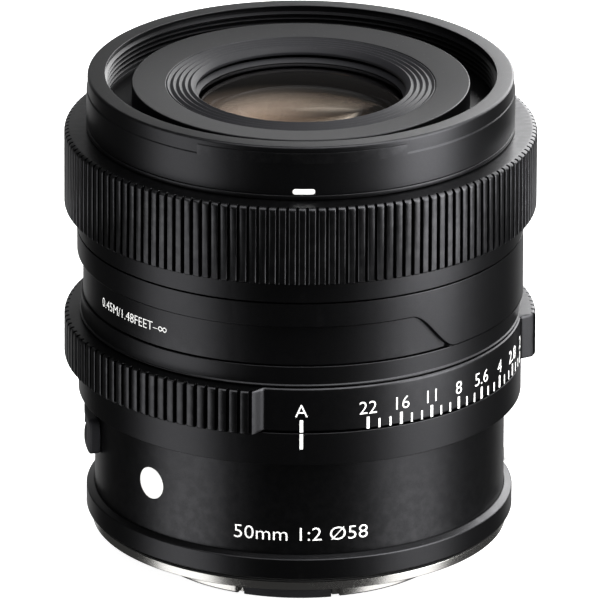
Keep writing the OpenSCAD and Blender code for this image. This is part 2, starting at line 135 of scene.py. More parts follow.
class LensFinishes(bpy.types.PropertyGroup):
    """Colours and surface values of the lens's finishes"""

    black: tint("Anodised black", "Colour of the outer metal", (0.034, 0.034, 0.036))
    black_roughness: share("Anodised roughness", "Roughness of the outer metal", 0.36)
    inner: tint("Inner black", "Colour of the metal inside", (0.012, 0.012, 0.013))
    plastic: tint("Moulded black", "Colour of the moulded plastic", (0.016, 0.016, 0.018))
    # The seal's default colour is its own black rubber, darkened further as painted shade for the
    # shadow under the mount skirt
    rubber: tint("Rubber", "Colour of the mount seal", (0.007, 0.007, 0.007))
    chrome: tint("Chrome", "Colour of the bayonet", (0.52, 0.51, 0.49))
    steel: tint("Steel", "Colour of rods, screws and spring", (0.55, 0.55, 0.56))
    gold: tint("Gold", "Colour of the contact pins", (0.88, 0.66, 0.30))
    brass: tint("Brass", "Colour of the pinion", (0.75, 0.58, 0.28))
    white: tint("White", "Colour of the badge and the printed marks", (0.86, 0.86, 0.84))
    slippery: tint("Slide bands", "Colour of the bands the focus ring runs on", (0.75, 0.74, 0.70))
    board: tint("Sensor board", "Colour of the ring sensor", (0.03, 0.12, 0.06))
    coating: tint("Coating", "Colour that the glass reflects", (1.0, 0.72, 0.50))


# ---- Shaping ----


def polar(radius, angle, height):
    """Point in metres, from a radius in mm, an angle from the index line and a height in mm."""
    a = math.radians(angle)
    return Vector((radius * math.sin(a), -radius * math.cos(a), height)) * MM


def joined(*parts):
    """One bmesh that holds all of them."""
    whole = bmesh.new()
    for part in parts:
        passing = bpy.data.meshes.new("passing")
        part.to_mesh(passing)
        part.free()
        whole.from_mesh(passing)
        bpy.data.meshes.remove(passing)
    return whole


def closed(bm):
    """Merges doubled points and turns the faces outwards."""
    bmesh.ops.remove_doubles(bm, verts=bm.verts, dist=1e-7)
    bmesh.ops.recalc_face_normals(bm, faces=bm.faces)
    return bm


def rounded_corners(bm, corners, size, segments=3):
    """Rounds the corners of a flat outline."""
    bmesh.ops.bevel(bm, geom=corners, offset=size, offset_type="OFFSET", segments=segments,
                    profile=0.5, affect="VERTICES", clamp_overlap=True, material=-1)


def rounded_edges(bm, size, segments=2, steeper=30.0):
    """Rounds every edge where the faces meet at more than this angle."""
    sharp = [e for e in bm.edges
             if len(e.link_faces) == 2 and e.calc_face_angle(0.0) > math.radians(steeper)]
    bmesh.ops.bevel(bm, geom=sharp, offset=size, offset_type="OFFSET", segments=segments,
                    profile=0.5, affect="EDGES", clamp_overlap=True, material=-1)


def turned(outline, start=0.0, sweep=360.0, steps=TURN_STEPS, climb=0.0):
    """Turns an outline of (radius, height, rounding) points in mm round the lens's axis.

    A sweep under a full turn, or one that climbs, gets end faces.
    """
    bm = bmesh.new()
    corners = [bm.verts.new(polar(p[0], start, p[1])) for p in outline]
    bm.faces.new(corners)
    sizes = {}
    for corner, p in zip(corners, outline):
        if len(p) > 2:
            sizes.setdefault(p[2], []).append(corner)
    for size, some in sizes.items():
        rounded_corners(bm, some, size * MM)
    whole = sweep == 360.0 and not climb
    if whole:
        bmesh.ops.delete(bm, geom=bm.faces[:], context="FACES_ONLY")
    bmesh.ops.spin(bm, geom=bm.verts[:] + bm.edges[:] + bm.faces[:], cent=(0, 0, 0),
                   axis=(0, 0, 1), dvec=(0, 0, climb * MM / steps),
                   angle=math.radians(sweep), steps=steps, use_merge=whole)
    return closed(bm)


def lofted(angles, rings):
    """Closed band through rings of points. Each ring is a function of the angle that gives
    (radius, height) in mm, and the last ring joins the first."""
    bm = bmesh.new()
    column = bm.verts.layers.int.new("column")
    loop = bmesh.ops.create_circle(bm, segments=len(angles), radius=1.0)["verts"]
    for i, vert in enumerate(loop):
        vert[column] = i

    def place(verts, ring):
        for vert in verts:
            angle = angles[vert[column]]
            vert.co = polar(ring(angle)[0], angle, ring(angle)[1])

    place(loop, rings[0])
    edges = bm.edges[:]
    for ring in rings[1:] + rings[:1]:
        made = bmesh.ops.extrude_edge_only(bm, edges=edges)["geom"]
        place([g for g in made if isinstance(g, bmesh.types.BMVert)], ring)
        edges = [g for g in made if isinstance(g, bmesh.types.BMEdge)
                 and all(v in made for v in g.verts)]
    return closed(bm)


def plate(width, height, thick, corner=0.0, edge=0.0, at=(0.0, 0.0, 0.0)):
    """Flat plate in mm, x along the barrel, y towards the front and z outwards."""
    bm = bmesh.new()
    bmesh.ops.create_grid(bm, x_segments=1, y_segments=1, size=0.5)
    bmesh.ops.scale(bm, vec=(width, height, 1.0), verts=bm.verts)
    if corner:
        rounded_corners(bm, bm.verts[:], corner, segments=5)
    raised = bmesh.ops.extrude_face_region(bm, geom=bm.faces[:])["geom"]
    above = [g for g in raised if isinstance(g, bmesh.types.BMVert)]
    bmesh.ops.translate(bm, vec=(0, 0, thick), verts=above)
    if edge:
        rim = [e for e in bm.edges if all(v in above for v in e.verts)]
        bmesh.ops.bevel(bm, geom=rim, offset=edge, offset_type="OFFSET", segments=3,
                        profile=0.5, affect="EDGES", clamp_overlap=True, material=-1)
    bmesh.ops.translate(bm, vec=at, verts=bm.verts)
    bmesh.ops.recalc_face_normals(bm, faces=bm.faces)
    return bm


def wrapped(bm, radius, angle=0.0, every=0.7):
    """Bends a flat shape in mm round the lens at this radius, after cutting it into strips."""
    across = [v.co.x for v in bm.verts]
    low, wide = min(across), max(across) - min(across)
    cuts = math.ceil(wide / every)
    for i in range(1, cuts):
        bmesh.ops.bisect_plane(bm, geom=bm.verts[:] + bm.edges[:] + bm.faces[:],
                               plane_co=(low + wide * i / cuts, 0, 0), plane_no=(1, 0, 0))
    for v in bm.verts:
        v.co = polar(radius + v.co.z, angle + math.degrees(v.co.x / radius), v.co.y)
    return bm


FIGURE_SHARE = 0.729  # height of a figure in the font, for a text size of 1
STROKE_TRIM = -0.008  # how far each stroke's outline draws in, for a text size of 1
TEXT_DEPTH = 0.01  # half of the text's thickness before it is scaled


def lettering(words, height, thick, at=(0.0, 0.0), wider=1.0):
    """Printed words in mm, centred, with figures of this height and drawn out sideways."""
    font = bpy.data.curves.new("words", "FONT")
    font.body, font.align_x = words, "CENTER"
    font.extrude, font.resolution_u, font.offset = TEXT_DEPTH, 3, STROKE_TRIM
    holder = bpy.data.objects.new("words", font)
    bpy.context.scene.collection.objects.link(holder)
    shown = holder.evaluated_get(bpy.context.evaluated_depsgraph_get())
    mesh = bpy.data.meshes.new_from_object(shown)
    bm = bmesh.new()
    bm.from_mesh(mesh)
    bpy.data.objects.remove(holder)
    bpy.data.curves.remove(font)
    bpy.data.meshes.remove(mesh)
    bmesh.ops.remove_doubles(bm, verts=bm.verts, dist=1e-5)
    size = height / FIGURE_SHARE
    bmesh.ops.scale(bm, vec=(size * wider, size, thick / (2 * TEXT_DEPTH)), verts=bm.verts)
    bmesh.ops.translate(bm, vec=(at[0], at[1], thick / 2), verts=bm.verts)
    bmesh.ops.recalc_face_normals(bm, faces=bm.faces)
    return bm


def stepped(start, end, step):
    """Angles from start up to end, evenly spaced by about this step, without the end."""
    count = max(1, round((end - start) / step))
    return [start + (end - start) * i / count for i in range(count)]


def smooth_step(t):
    """Eases from 0 to 1, and stays at each beyond its end."""
    t = min(1.0, max(0.0, t))
    return t * t * (3 - 2 * t)


def add_piece(name, bm, finish, body=HOUSING, stands_for=(), sharp=38.0):
    """Makes an object of a bmesh, at the origin, and ties it to the frame."""
    mesh = bpy.data.meshes.new(name)
    bm.to_mesh(mesh)
    bm.free()
    mesh.shade_smooth()
    mesh.set_sharp_from_angle(angle=math.radians(sharp))
    mesh.materials.append(finish)
    piece = bpy.data.objects.new(name, mesh)
    bpy.context.scene.collection.objects.link(piece)
    even = piece.modifiers.new("Even shading", "WEIGHTED_NORMAL")
    even.mode, even.keep_sharp = "FACE_AREA", True
    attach(piece, body)
    if stands_for:
        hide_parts(*stands_for)
    return piece


# ---- Shared surface effects ----


def add(tree, kind, values=(), **settings):
    """Adds a node, sets its plain settings, then its inputs by name or number."""
    made = tree.nodes.new(kind)
    for key, value in settings.items():
        setattr(made, key, value)
    for key, value in dict(values).items():
        if isinstance(value, bpy.types.NodeSocket):
            tree.links.new(value, made.inputs[key])
        else:
            made.inputs[key].default_value = value
    return made


def arithmetic(tree, operation, *values):
    """Output of a Math node with this operation on two numbers or sockets."""
    return add(tree, "ShaderNodeMath", dict(enumerate(values)), operation=operation).outputs[0]


VECTOR, FLOAT = "NodeSocketVector", "NodeSocketFloat"


def effect_group(name, amount, default, outputs, normal=False):
    """Turns a function that wires a node group into one that builds it once and returns it.

    Each group reads a place and one amount, and puts out the named values.
    """
    def kept(wire):
        def built():
            if name in bpy.data.node_groups:
                return bpy.data.node_groups[name]
            group = bpy.data.node_groups.new(name, "ShaderNodeTree")
            sockets = group.interface
            sockets.new_socket(name="Vector", in_out="INPUT", socket_type=VECTOR)
            if normal:
                sockets.new_socket(name="Normal", in_out="INPUT", socket_type=VECTOR)
            size = sockets.new_socket(name=amount, in_out="INPUT", socket_type=FLOAT)
            size.default_value = default
            for title in outputs:
                sockets.new_socket(name=title, in_out="OUTPUT", socket_type=FLOAT)
            source = group.nodes.new("NodeGroupInput")
            sink = group.nodes.new("NodeGroupOutput")
            wire(group, source.outputs, sink.inputs)
            return group
        return built
    return kept


@effect_group("Fine grain", "Grain size", 0.0001, ("Height", "Speckle"))
def grain_effect(g, given, wanted):
    """Fine speckle of an etched and anodised, or a spark-eroded, surface."""
    scale = arithmetic(g, "DIVIDE", 1.0, given["Grain size"])
    fine = add(g, "ShaderNodeTexNoise", {"Vector": given["Vector"], "Scale": scale,
                                         "Detail": 3.0, "Roughness": 0.6})
    cells = add(g, "ShaderNodeTexVoronoi", {"Vector": given["Vector"], "Scale": scale})
    height = arithmetic(g, "MULTIPLY", fine.outputs[0], cells.outputs["Distance"])
    speckle = add(g, "ShaderNodeMapRange", {"Value": fine.outputs[0], "From Min": 0.35,
                                            "From Max": 0.7})
    g.links.new(height, wanted["Height"])
    g.links.new(speckle.outputs[0], wanted["Speckle"])


@effect_group("Turning marks", "Spacing", 0.0001, ("Height",))
def turning_effect(g, given, wanted):
    """Fine circular marks that a lathe leaves round the lens's axis."""
    parts = add(g, "ShaderNodeSeparateXYZ", {"Vector": given["Vector"]}).outputs
    squares = arithmetic(g, "ADD", arithmetic(g, "MULTIPLY", parts[0], parts[0]),
                         arithmetic(g, "MULTIPLY", parts[1], parts[1]))
    out = arithmetic(g, "DIVIDE", arithmetic(g, "SQRT", squares), given["Spacing"])
    up = arithmetic(g, "DIVIDE", parts[2], given["Spacing"])
    round_it = arithmetic(g, "MULTIPLY", arithmetic(g, "ARCTAN2", parts[0], parts[1]), 1.5)
    where = add(g, "ShaderNodeCombineXYZ", {0: out, 1: up, 2: round_it})
    marks = add(g, "ShaderNodeTexNoise", {"Vector": where.outputs[0], "Scale": 1.0,
                                          "Detail": 2.0, "Roughness": 0.65})
    g.links.new(marks.outputs[0], wanted["Height"])


@effect_group("Handling marks", "Amount", 0.05, ("Roughness shift",))
def handling_effect(g, given, wanted):
    """Broad faint patches where the surface was wiped and handled."""
    broad = add(g, "ShaderNodeTexNoise", {"Vector": given["Vector"], "Scale": 60.0,
                                          "Detail": 3.0, "Roughness": 0.5, "Distortion": 0.6})
    centred = arithmetic(g, "SUBTRACT", broad.outputs[0], 0.5)
    g.links.new(arithmetic(g, "MULTIPLY", centred, given["Amount"]), wanted["Roughness shift"])


@effect_group("Edge wear", "Amount", 0.3, ("Mask",))
def wear_effect(g, given, wanted):
    """Mask of the proud edges where the finish has rubbed thin."""
    proud = add(g, "ShaderNodeMapRange", {"Value": g.nodes.new("ShaderNodeNewGeometry")
                                          .outputs["Pointiness"],
                                          "From Min": 0.52, "From Max": 0.62})
    broken = add(g, "ShaderNodeTexNoise", {"Vector": given["Vector"], "Scale": 700.0,
                                           "Detail": 4.0})
    patchy = add(g, "ShaderNodeMapRange", {"Value": broken.outputs[0], "From Min": 0.4,
                                           "From Max": 0.65})
    mask = arithmetic(g, "MULTIPLY", proud.outputs[0], patchy.outputs[0])
    g.links.new(arithmetic(g, "MULTIPLY", mask, given["Amount"]), wanted["Mask"])


@effect_group("Settled dust", "Amount", 0.3, ("Mask",), normal=True)
def dust_effect(g, given, wanted):
    """Sparse pale specks that settle on faces that look forwards along the lens."""
    facing = add(g, "ShaderNodeSeparateXYZ", {"Vector": given["Normal"]}).outputs[2]
    level = add(g, "ShaderNodeMapRange", {"Value": facing, "From Min": 0.3, "From Max": 0.9})
    specks = add(g, "ShaderNodeTexVoronoi", {"Vector": given["Vector"], "Scale": 900.0,
                                             "Randomness": 1.0})
    small = add(g, "ShaderNodeMapRange", {"Value": specks.outputs["Distance"],
                                          "From Min": 0.14, "From Max": 0.05})
    mask = arithmetic(g, "MULTIPLY", level.outputs[0], small.outputs[0])
    g.links.new(arithmetic(g, "MULTIPLY", mask, given["Amount"]), wanted["Mask"])


# ---- Finishes ----


DUST = (0.45, 0.44, 0.42, 1.0)
SPECKLE_SPREAD = 0.14  # how much lighter or darker than its colour a speckled finish gets
SPECKLE_ROUGHNESS = 0.03  # roughness that the pale specks add


def surface(name, colour, roughness, metallic=0.0, grain=0.0001, grain_height=0.0,
            turning=0.0, turning_height=0.0, handling=0.04, wear=0.0, worn=(0.3, 0.3, 0.31),
            dust=0.0, **shader):
    """A finish from one colour and roughness, with the shared effects laid over it.

    The grain and turning values are a spacing in metres and a bump height in metres.
    """
    if name in bpy.data.materials:
        return bpy.data.materials[name]
    made = bpy.data.materials.new(name)
    made.use_nodes = True
    tree = made.node_tree
    tree.nodes.clear()
    body = add(tree, "ShaderNodeBsdfPrincipled", {"Metallic": metallic, **shader})
    out = tree.nodes.new("ShaderNodeOutputMaterial")
    tree.links.new(body.outputs[0], out.inputs[0])
    place = tree.nodes.new("ShaderNodeTexCoord")
    where = place.outputs["Object"]

    def effect(group, **values):
        return add(tree, "ShaderNodeGroup", {"Vector": where, **{
            key.replace("_", " ").capitalize(): value for key, value in values.items()}},
            node_tree=group).outputs

    speckle = effect(grain_effect(), grain_size=grain)
    shift = effect(handling_effect(), amount=handling)["Roughness shift"]
    lower = [(1 - SPECKLE_SPREAD) * c for c in colour] + [1.0]
    upper = [min(1.0, (1 + SPECKLE_SPREAD) * c) for c in colour] + [1.0]
    skin = mixed(tree, speckle["Speckle"], lower, upper)
    if wear:
        mask = effect(wear_effect(), amount=wear)["Mask"]
        skin = mixed(tree, mask, skin, [*worn, 1.0])
    if dust:
        mask = effect(dust_effect(), amount=dust, normal=place.outputs["Normal"])["Mask"]
        skin = mixed(tree, mask, skin, DUST)
    tree.links.new(skin, body.inputs["Base Color"])
    rough = arithmetic(tree, "ADD", shift, roughness)
    rough = arithmetic(tree, "ADD", rough, arithmetic(
        tree, "MULTIPLY", speckle["Speckle"], SPECKLE_ROUGHNESS))
    tree.links.new(rough, body.inputs["Roughness"])
    heights = []
    if grain_height:
        heights.append(arithmetic(tree, "MULTIPLY", speckle["Height"], grain_height))
    if turning_height:
        marks = effect(turning_effect(), spacing=turning)["Height"]
        heights.append(arithmetic(tree, "MULTIPLY", marks, turning_height))
    if heights:
        height = heights[0] if len(heights) == 1 else arithmetic(tree, "ADD", *heights)
        bump = add(tree, "ShaderNodeBump", {"Height": height, "Strength": 1.0, "Distance": 1.0})
        tree.links.new(bump.outputs[0], body.inputs["Normal"])
    return made


def mixed(tree, factor, first, second):
    """Colour between two, each of them a colour or a socket."""
    mix = tree.nodes.new("ShaderNodeMix")
    mix.data_type = "RGBA"
    tree.links.new(factor, mix.inputs["Factor"])
    for value, socket in ((first, mix.inputs[6]), (second, mix.inputs[7])):
        if isinstance(value, bpy.types.NodeSocket):
            tree.links.new(value, socket)
        else:
            socket.default_value = value
    return mix.outputs[2]


def finishes():
    """The colours and surface values that the user can change."""
    return bpy.context.scene.lens_finishes


def anodised():
    """Satin black outer metal."""
    f = finishes()
    return surface("Anodised black", f.black, f.black_roughness, metallic=1.0, grain=0.00012,
                   grain_height=4e-6, turning=0.00016, turning_height=1.2e-6,
                   handling=0.015, wear=0.25, worn=(0.10, 0.10, 0.105), dust=0.08)


def ribbed():
    """Outer metal of the two grips, a little brighter where hands rub the ribs."""
    f = finishes()
    return surface("Milled grip black", [1.1 * c for c in f.black],
                   f.black_roughness - 0.02, metallic=1.0,
                   grain=0.0001, grain_height=3e-6, handling=0.04, wear=0.4,
                   worn=(0.14, 0.14, 0.145), dust=0.05)


def inner_metal():
    return surface("Inner matt black", finishes().inner, 0.58, metallic=0.6, grain=0.00012,
                   grain_height=5e-6, turning=0.0002, turning_height=2e-6)


def thread_metal():
    return surface("Thread black", finishes().inner, 0.34, metallic=0.9, grain=0.0001,
                   grain_height=2e-6, turning=0.00012, turning_height=1e-6)


def moulded():
    return surface("Moulded black", finishes().plastic, 0.46, grain=0.00014,
                   grain_height=7e-6, handling=0.03, dust=0.03,
                   **{"Specular IOR Level": 0.15})


def chrome():
    return surface("Satin chrome", finishes().chrome, 0.24, metallic=1.0, grain=0.00008,
                   grain_height=1e-6, turning=0.00012, turning_height=1.5e-6, handling=0.1)


def steel():
    return surface("Turned steel", finishes().steel, 0.3, metallic=1.0, grain=0.00008,
                   grain_height=1e-6, turning=0.00008, turning_height=1e-6)


def can_steel():
    return surface("Drawn steel can", finishes().steel, 0.38, metallic=1.0, grain=0.0001,
                   grain_height=2e-6)


def gold():
    return surface("Gold plate", finishes().gold, 0.2, metallic=1.0, grain=0.00006,
                   grain_height=1e-6)


def brass():
    return surface("Cut brass", finishes().brass, 0.28, metallic=1.0, grain=0.00006,
                   grain_height=1e-6)


def rubber():
    # The seal's colour is partly its own black rubber and partly painted shade for the shadow under
    # the mount skirt
    return surface("Soft rubber", finishes().rubber, 0.72, grain=0.00012, grain_height=8e-6,
                   **{"Specular IOR Level": 0.25})


def white_print():
    return surface("White print", finishes().white, 0.5, grain=0.00009, grain_height=1e-6)


def bead_plastic():
    return surface("Bead plastic", (0.42, 0.42, 0.41), 0.4, grain=0.0001, grain_height=1e-6)


def white_plastic():
    return surface("White plastic", finishes().white, 0.32, grain=0.0001, grain_height=1e-6,
                   **{"Coat Weight": 0.3, "Coat Roughness": 0.1})


def slide_band():
    return surface("Slide band", finishes().slippery, 0.4, grain=0.0001, grain_height=2e-6)


def blade_coat():
    return surface("Blade coating", finishes().inner, 0.5, metallic=0.3, grain=0.00008,
                   grain_height=2e-6)


def sensor_board():
    return surface("Sensor board", finishes().board, 0.35, grain=0.0001, grain_height=2e-6)


def pale_floor():
    """Matt white card, evenly lit."""
    made = bpy.data.materials.new("Pale floor")
    made.use_nodes = True
    tree = made.node_tree
    tree.nodes.clear()
    body = add(tree, "ShaderNodeBsdfPrincipled", {
        "Roughness": 0.9, "Specular IOR Level": 0.0, "Emission Color": (1, 1, 1, 1),
        "Emission Strength": 0.9})
    out = tree.nodes.new("ShaderNodeOutputMaterial")
    tree.links.new(body.outputs[0], out.inputs[0])
    where = tree.nodes.new("ShaderNodeTexCoord").outputs["Object"]
    fibres = add(tree, "ShaderNodeTexNoise", {"Vector": where, "Scale": 3.0})
    tree.links.new(mixed(tree, fibres.outputs[0], (0.78, 0.78, 0.78, 1), (0.8, 0.8, 0.8, 1)),
                   body.inputs["Base Color"])
    return made


def coated_glass(name, coat):
    """Clear glass whose reflections take the coating's colour."""
    if name in bpy.data.materials:
        return bpy.data.materials[name]
    made = surface(name, (0.93, 0.9, 0.86), 0.0, grain=0.0004, handling=0.0,
                   **{"Transmission Weight": 1.0, "IOR": 1.52, "Specular IOR Level": 0.12,
                      "Specular Tint": (*coat, 1.0)})
    return made


# ---- Stage ----


# The camera aims halfway between the rim and this far, in metres, below the flange.
FRAMED_BELOW = 0.00194
CAMERA_AZIMUTH, CAMERA_ELEVATION, CAMERA_ROLL = -0.5, 21.05, 0.25
CAMERA_DISTANCE, CAMERA_LENS = 2.454, 992.0
FILL, GLOW = "Soft fill", "Glass glow"
GLOW_COLOUR = (1.0, 0.84, 0.72)
# name, azimuth, elevation, distance, width, height, radiance
PANELS = (
    ("Right strip", 66.0, -16.0, 1.2, 0.75, 1.7, 2.3),
    ("Right upper strip", 66.0, 17.0, 0.2, 0.12, 0.2, 7.5),
    ("Left strip", -66.0, -16.0, 1.2, 0.75, 1.7, 2.4),
    ("Background", 180.0, -5.0, 1.6, 1.7, 1.6, 0.5),
    ("Back panel", 147.0, 24.0, 0.34, 0.3, 0.22, 6.4),
    ("Top panel", 80.0, 58.0, 0.9, 0.9, 0.7, 4.0),
    ("Overhead panel", 0.0, 74.0, 0.9, 1.1, 0.6, 2.6),
    (GLOW, -147.0, 42.0, 1.0, 1.6, 1.2, 1.4),
    (FILL, 0.0, 30.0, 1.5, 1.0, 1.0, 2.5),
)


def bearing(azimuth, elevation):
    """Direction from the lens. Azimuth 0 is in front, and 90 on the right."""
    a, e = math.radians(azimuth), math.radians(elevation)
    return Vector((math.sin(a) * math.cos(e), -math.cos(a) * math.cos(e), math.sin(e)))


class LENS_OT_stage(bpy.types.Operator):
    """Lays the floor and sets the lights, the world and the camera"""

    bl_idname = "lens.stage"
    bl_label = "Stage"

    def execute(self, context):
        scene = context.scene
        middle = Vector((0.0, 0.0, (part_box("front_ring")[1].z - FRAMED_BELOW) / 2))
        self.floor(scene, CAD_BOX[0].z)
        self.world(scene)
        for panel in PANELS:
            self.panel(scene, middle, *panel)
        self.soften(bpy.data.objects[GLOW].data)
        bpy.data.objects[FILL].visible_glossy = False
        self.camera(scene, middle)
        return {"FINISHED"}

    def floor(self, scene, height):
        bm = bmesh.new()
        bmesh.ops.create_grid(bm, x_segments=1, y_segments=1, size=6.0)
        bmesh.ops.translate(bm, vec=(0, 0, height), verts=bm.verts)
        mesh = bpy.data.meshes.new("floor")
        bm.to_mesh(mesh)
        bm.free()
        mesh.materials.append(pale_floor())
        floor = bpy.data.objects.new("floor", mesh)
        scene.collection.objects.link(floor)
        floor.visible_glossy = False
        floor.visible_transmission = False

    def world(self, scene):
        world = bpy.data.worlds.new("Studio")
        world.use_nodes = True
        tree = world.node_tree
        tree.nodes.clear()
        dim = add(tree, "ShaderNodeBackground", {"Color": (1, 1, 1, 1), "Strength": 0.05})
        white = add(tree, "ShaderNodeBackground", {"Color": (1, 1, 1, 1), "Strength": 1.0})
        seen = tree.nodes.new("ShaderNodeLightPath").outputs["Is Camera Ray"]
        mix = add(tree, "ShaderNodeMixShader", {0: seen, 1: dim.outputs[0], 2: white.outputs[0]})
        out = tree.nodes.new("ShaderNodeOutputWorld")
        tree.links.new(mix.outputs[0], out.inputs[0])
        scene.world = world
        scene.view_settings.view_transform = "Standard"

    def panel(self, scene, middle, name, azimuth, elevation, distance, wide, tall, radiance):
        """A soft panel that faces the lens and that the camera doesn't see."""
        light = bpy.data.lights.new(name, "AREA")
        light.shape, light.size, light.size_y = "RECTANGLE", wide, tall
        light.energy = radiance * math.pi * wide * tall
        lamp = bpy.data.objects.new(name, light)
        way = bearing(azimuth, elevation)
        lamp.location = middle + way * distance
        lamp.rotation_mode = "QUATERNION"
        lamp.rotation_quaternion = way.to_track_quat("Z", "Y")
        lamp.visible_camera = False
        scene.collection.objects.link(lamp)

    def soften(self, light):
        """Makes a panel a warm ellipse that fades from its middle to its edge."""
        light.shape, light.color = "ELLIPSE", GLOW_COLOUR
        light.use_nodes = True
        tree = light.node_tree
        place = tree.nodes.new("ShaderNodeNewGeometry").outputs["Parametric"]
        apart = add(tree, "ShaderNodeVectorMath", {0: place, 1: (0.5, 0.5, 0.0)},
                    operation="DISTANCE")
        ramp = add(tree, "ShaderNodeMapRange",
                   {"Value": apart.outputs["Value"], "From Max": 0.5, "To Min": 1.0, "To Max": 0.0},
                   interpolation_type="SMOOTHSTEP")
        tree.links.new(ramp.outputs["Result"], tree.nodes["Emission"].inputs["Strength"])

    def camera(self, scene, middle):
        data = bpy.data.cameras.new("Camera")
        data.sensor_width, data.lens = 36.0, CAMERA_LENS
        data.clip_start, data.clip_end = 0.1, 50.0
        camera = bpy.data.objects.new("Camera", data)
        back = bearing(CAMERA_AZIMUTH, CAMERA_ELEVATION)
        roll = Quaternion((0, 0, 1), math.radians(CAMERA_ROLL))
        camera.location = middle + back * CAMERA_DISTANCE
        camera.rotation_mode = "QUATERNION"
        camera.rotation_quaternion = back.to_track_quat("Z", "Y") @ roll
        scene.collection.objects.link(camera)
        scene.camera = camera


# ---- Front end ----


class LENS_OT_front_ring(bpy.types.Operator):
    """Turns the front ring with its hood lugs and filter thread, and prints its index dash"""

    bl_idname = "lens.front_ring"
    bl_label = "Front Ring"

    def execute(self, context):
        s = context.scene.lens_sizes
        soft = s.softness / MM
        top, foot = top_of("front_ring"), foot_of("front_ring")
        wide, seat = reach_of("front_barrel"), 22.0
        crest, thread_deep = s.thread_crest / MM, 0.5
        root = crest + thread_deep
        lip, lip_foot = wide - 0.14, top - 2.4
        floor = top - 5.1
        ring = turned([
            (seat, foot), (wide, foot, soft), (wide, lip_foot, 0.08), (lip, lip_foot + 0.2, 0.04),
            (lip, top, 0.4), (root - 0.2, top, 0.1), (root - 0.05, top - 0.5, 0.05),
            (root, floor, 0.1), (seat, floor)])
        lug_out, lug_top, sunk = wide + 0.06, top - 0.9, lip - 0.15
        lugs = [turned([(sunk, lip_foot - 0.1), (lug_out, lip_foot - 0.1), (lug_out, lug_top - 0.15),
                        (lug_out - 0.08, lug_top), (sunk, lug_top)],
                       middle - spread / 2, spread, steps=46)
                for middle, spread in ((0, 58), (120, 46), (240, 46))]
        add_piece("front_ring_shell", joined(ring, *lugs), anodised(),
                  stands_for=["front_ring"])
        pitch, turns, thread_foot = s.thread_pitch / MM, 4.9, floor + 0.12
        thread = turned([
            (root + 0.03, thread_foot), (crest, thread_foot + 0.42 * pitch, 0.03),
            (crest, thread_foot + 0.55 * pitch, 0.03), (root + 0.03, thread_foot + 0.97 * pitch)],
            sweep=360.0 * turns, steps=round(144 * turns), climb=pitch * turns)
        add_piece("filter_thread_turns", thread, thread_metal())
        dash_height, dash_at = top - 6.85, 0.4
        dash = wrapped(plate(3.3, 0.84, s.print_thickness / MM, corner=0.36,
                             at=(0, dash_height, 0)), wide + 0.005, dash_at)
        add_piece("front_index_dash", dash, white_print())
        return {"FINISHED"}


class LENS_OT_front_face(bpy.types.Operator):
    """Turns the face plate, the ridged baffle and the ring that holds the front glass"""

    bl_idname = "lens.front_face"
    bl_label = "Front Face"

    def execute(self, context):
        plate_out, plate_top = reach_of("face_plate"), top_of("face_plate")
        mouth, mouth_top = reach_of("front_baffle"), top_of("front_baffle")
        foot = foot_of("face_plate")
        mouth_r, face_thick, skirt = 19.85, 1.1, plate_out - 0.8
        face_in = mouth_r + 0.08
        face = turned([
            (face_in, mouth_top, 0.1), (plate_out, plate_top, 0.18), (plate_out, foot),
            (skirt, foot), (skirt, plate_top - face_thick), (face_in, mouth_top - face_thick)])
        add_piece("face_plate_ring", face, anodised(),
                  stands_for=["face_plate"])
        eye, bore, count, deep = 16.25, 15.5, 4, 0.35
        pitch = (mouth_r - 0.1 - eye) / count
        outline = []
        for i in range(count):
            r = eye + i * pitch
            outline += [(r, mouth_top, 0.07), (r + 0.5 * pitch, mouth_top - deep, 0.07)]
        outline += [
            (mouth_r - 0.1, mouth_top, 0.05), (mouth_r, mouth_top - 0.1),
            (mouth_r, mouth_top - 1.3), (mouth, mouth_top - 1.7), (mouth, foot), (22.2, foot),
            (22.2, foot + 0.95), (eye + 1.8, mouth_top - 1.7), (eye + 0.4, mouth_top - 1.25),
            (bore, mouth_top - 1.2, 0.05), (bore, mouth_top - 0.8, 0.08)]
        add_piece("front_baffle_ridges", turned(outline), moulded(),
                  stands_for=["front_baffle"])
        top, foot, wide = top_of("front_retainer"), foot_of("front_retainer"), 17.0
        glass_r, seat = 15.1, 16.3
        flange = top - 0.55
        retainer = turned([
            (glass_r, top - 0.6, 0.04), (glass_r + 0.8, top, 0.08), (glass_r + 0.9, flange),
            (wide, flange), (wide, foot), (seat, foot), (seat, foot + 0.65)])
        add_piece("front_retainer_ring", retainer, moulded(),
                  stands_for=["front_retainer"])
        return {"FINISHED"}


